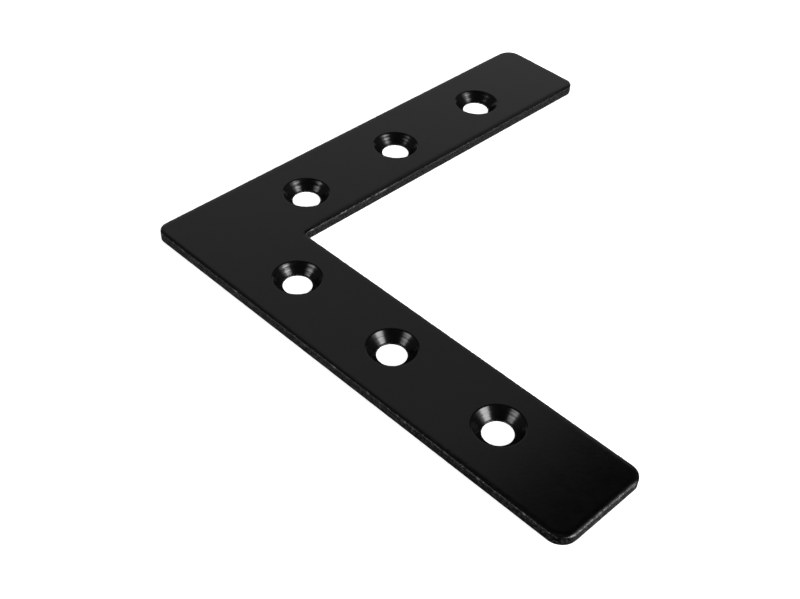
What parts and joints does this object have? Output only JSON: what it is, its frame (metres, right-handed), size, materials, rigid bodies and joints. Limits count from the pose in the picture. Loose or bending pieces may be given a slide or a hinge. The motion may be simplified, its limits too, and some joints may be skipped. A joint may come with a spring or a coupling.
{
  "type": "flat corner plate",
  "caption": "Flat L-shaped steel corner plate with two equal arms and countersunk screw holes, black coated, for bracing a square joint in wood.",
  "frame": {"origin": "on the back face, where the lines of screw holes of the two arms cross", "axes": "+X along one arm towards its end, +Y along the other arm towards its end, +Z out of the countersunk front face"},
  "size_m": [0.1, 0.1, 0.002],
  "materials": {
    "black_coat": "satin black coating over blanked steel sheet, glossier in the countersinks"
  },
  "bodies": {
    "root": {"corner_plate": "black_coat"}
  },
  "joints": []
}
